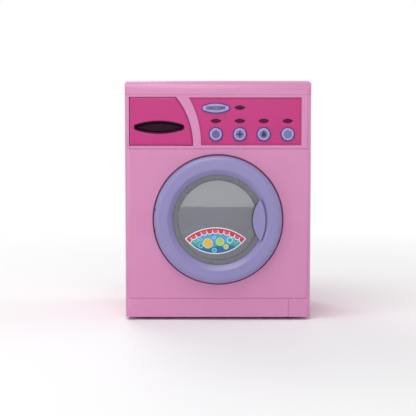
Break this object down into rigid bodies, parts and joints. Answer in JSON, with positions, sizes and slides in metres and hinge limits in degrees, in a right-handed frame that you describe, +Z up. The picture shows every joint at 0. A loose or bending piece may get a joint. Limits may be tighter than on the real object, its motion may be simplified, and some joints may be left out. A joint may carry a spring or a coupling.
{
  "type": "toy washing machine",
  "caption": "Toy front-loading washing machine with a hinged porthole door, pull-out drawer, push buttons and a geared perforated drum in a moulded cabinet.",
  "frame": {"origin": "on the floor under the middle of the whole object, door included", "axes": "+Z up, the door and panel face -Y, +X to the right seen from the front"},
  "size_m": [0.186, 0.149, 0.24],
  "materials": {
    "light_pink_abs": "moulded satin gloss",
    "deep_pink_abs": "moulded satin gloss",
    "magenta_abs": "moulded gloss",
    "lavender_abs": "moulded satin gloss",
    "plum_abs": "moulded gloss",
    "drum_plum_abs": "moulded gloss",
    "white_abs": "moulded satin",
    "dark_abs": "moulded matt",
    "smoked_acrylic": "polished dark tint",
    "smoky_clear": "clear smoky tinted plastic",
    "grey_rubber": "matt",
    "black_silicone": "matt",
    "red_epoxy": "clear tinted",
    "green_laminate": "lacquered",
    "zinc_steel": "zinc plated",
    "bronze": "sintered",
    "white_acetal": "moulded",
    "grey_acetal": "moulded",
    "brass_like_acetal": "moulded"
  },
  "bodies": {
    "cabinet": {"front_casing": "light_pink_abs", "rear_casing": "deep_pink_abs", "top_cover": "light_pink_abs", "base_plate": "light_pink_abs", "feet": "grey_rubber", "casing_screws": "zinc_steel", "control_panel": "magenta_abs", "light_windows": "smoked_acrylic", "indicator_leds": "red_epoxy", "circuit_board": "green_laminate", "contact_pads": "black_silicone", "drawer_guide": "light_pink_abs", "hinge_bracket": "light_pink_abs", "hinge_pin": "zinc_steel", "latch_clip": "zinc_steel", "tub": "white_abs", "drum_bush": "bronze", "idler_axle": "zinc_steel", "motor": "zinc_steel", "gear_plate": "white_abs", "gear_plate_screws": "zinc_steel", "battery_box": "dark_abs", "battery_contacts": "zinc_steel", "speaker": "dark_abs", "speaker_clamp": "white_abs"},
    "door": {"door_frame": "lavender_abs", "door_window": "smoky_clear", "door_back_ring": "lavender_abs", "door_handle": "lavender_abs", "door_screws": "zinc_steel"},
    "drawer": {"drawer_front": "magenta_abs", "drawer_pull_cup": "plum_abs", "drawer_tray": "white_abs"},
    "drum": {"drum_shell": "drum_plum_abs", "drum_back": "drum_plum_abs", "drum_lifters": "drum_plum_abs", "drum_shaft": "zinc_steel", "drum_gear": "white_acetal"},
    "idler": {"idler_gear": "grey_acetal"},
    "pinion": {"motor_pinion": "brass_like_acetal", "motor_shaft": "zinc_steel"},
    "power_key": {"button_power": "lavender_abs"},
    "programme_key_1": {"button_program_1": "lavender_abs"},
    "programme_key_2": {"button_program_2": "lavender_abs"},
    "programme_key_3": {"button_program_3": "lavender_abs"},
    "programme_key_4": {"button_program_4": "lavender_abs"},
    "battery_cover": {"battery_door": "deep_pink_abs", "battery_door_screw": "zinc_steel"}
  },
  "joints": [
    {"name": "door_hinge", "type": "hinge", "parent": "cabinet", "child": "door", "pos_m": [-0.06, -0.069, 0.1013], "axis": [0, 0, -1], "range_deg": [0, 95]},
    {"name": "drawer_slide", "type": "slide", "parent": "cabinet", "child": "drawer", "axis": [0, -1, 0], "range_m": [0, 0.04]},
    {"name": "drum_spin", "type": "hinge", "parent": "cabinet", "child": "drum", "pos_m": [0, 0.02, 0.1013], "axis": [0, 1, 0], "continuous": true},
    {"name": "idler_spin", "type": "hinge", "parent": "cabinet", "child": "idler", "pos_m": [0.012, 0.035, 0.12208], "axis": [0, 1, 0], "continuous": true},
    {"name": "pinion_spin", "type": "hinge", "parent": "cabinet", "child": "pinion", "pos_m": [0.012, 0.038, 0.14008], "axis": [0, 1, 0], "continuous": true},
    {"name": "power_press", "type": "slide", "parent": "cabinet", "child": "power_key", "axis": [0, 1, 0], "range_m": [0, 0.0015], "stiffness_N_per_m": 400, "springref_m": -0.0006},
    {"name": "programme_press_1", "type": "slide", "parent": "cabinet", "child": "programme_key_1", "axis": [0, 1, 0], "range_m": [0, 0.0015], "stiffness_N_per_m": 400, "springref_m": -0.0006},
    {"name": "programme_press_2", "type": "slide", "parent": "cabinet", "child": "programme_key_2", "axis": [0, 1, 0], "range_m": [0, 0.0015], "stiffness_N_per_m": 400, "springref_m": -0.0006},
    {"name": "programme_press_3", "type": "slide", "parent": "cabinet", "child": "programme_key_3", "axis": [0, 1, 0], "range_m": [0, 0.0015], "stiffness_N_per_m": 400, "springref_m": -0.0006},
    {"name": "programme_press_4", "type": "slide", "parent": "cabinet", "child": "programme_key_4", "axis": [0, 1, 0], "range_m": [0, 0.0015], "stiffness_N_per_m": 400, "springref_m": -0.0006},
    {"name": "battery_cover_tilt", "type": "hinge", "parent": "cabinet", "child": "battery_cover", "pos_m": [0, 0.0745, 0.0183], "axis": [-1, 0, 0], "range_deg": [0, 75]}
  ],
  "couplings": [
    {"joint": "idler_spin", "follows": "drum_spin", "ratio": -4},
    {"joint": "pinion_spin", "follows": "drum_spin", "ratio": 16}
  ]
}
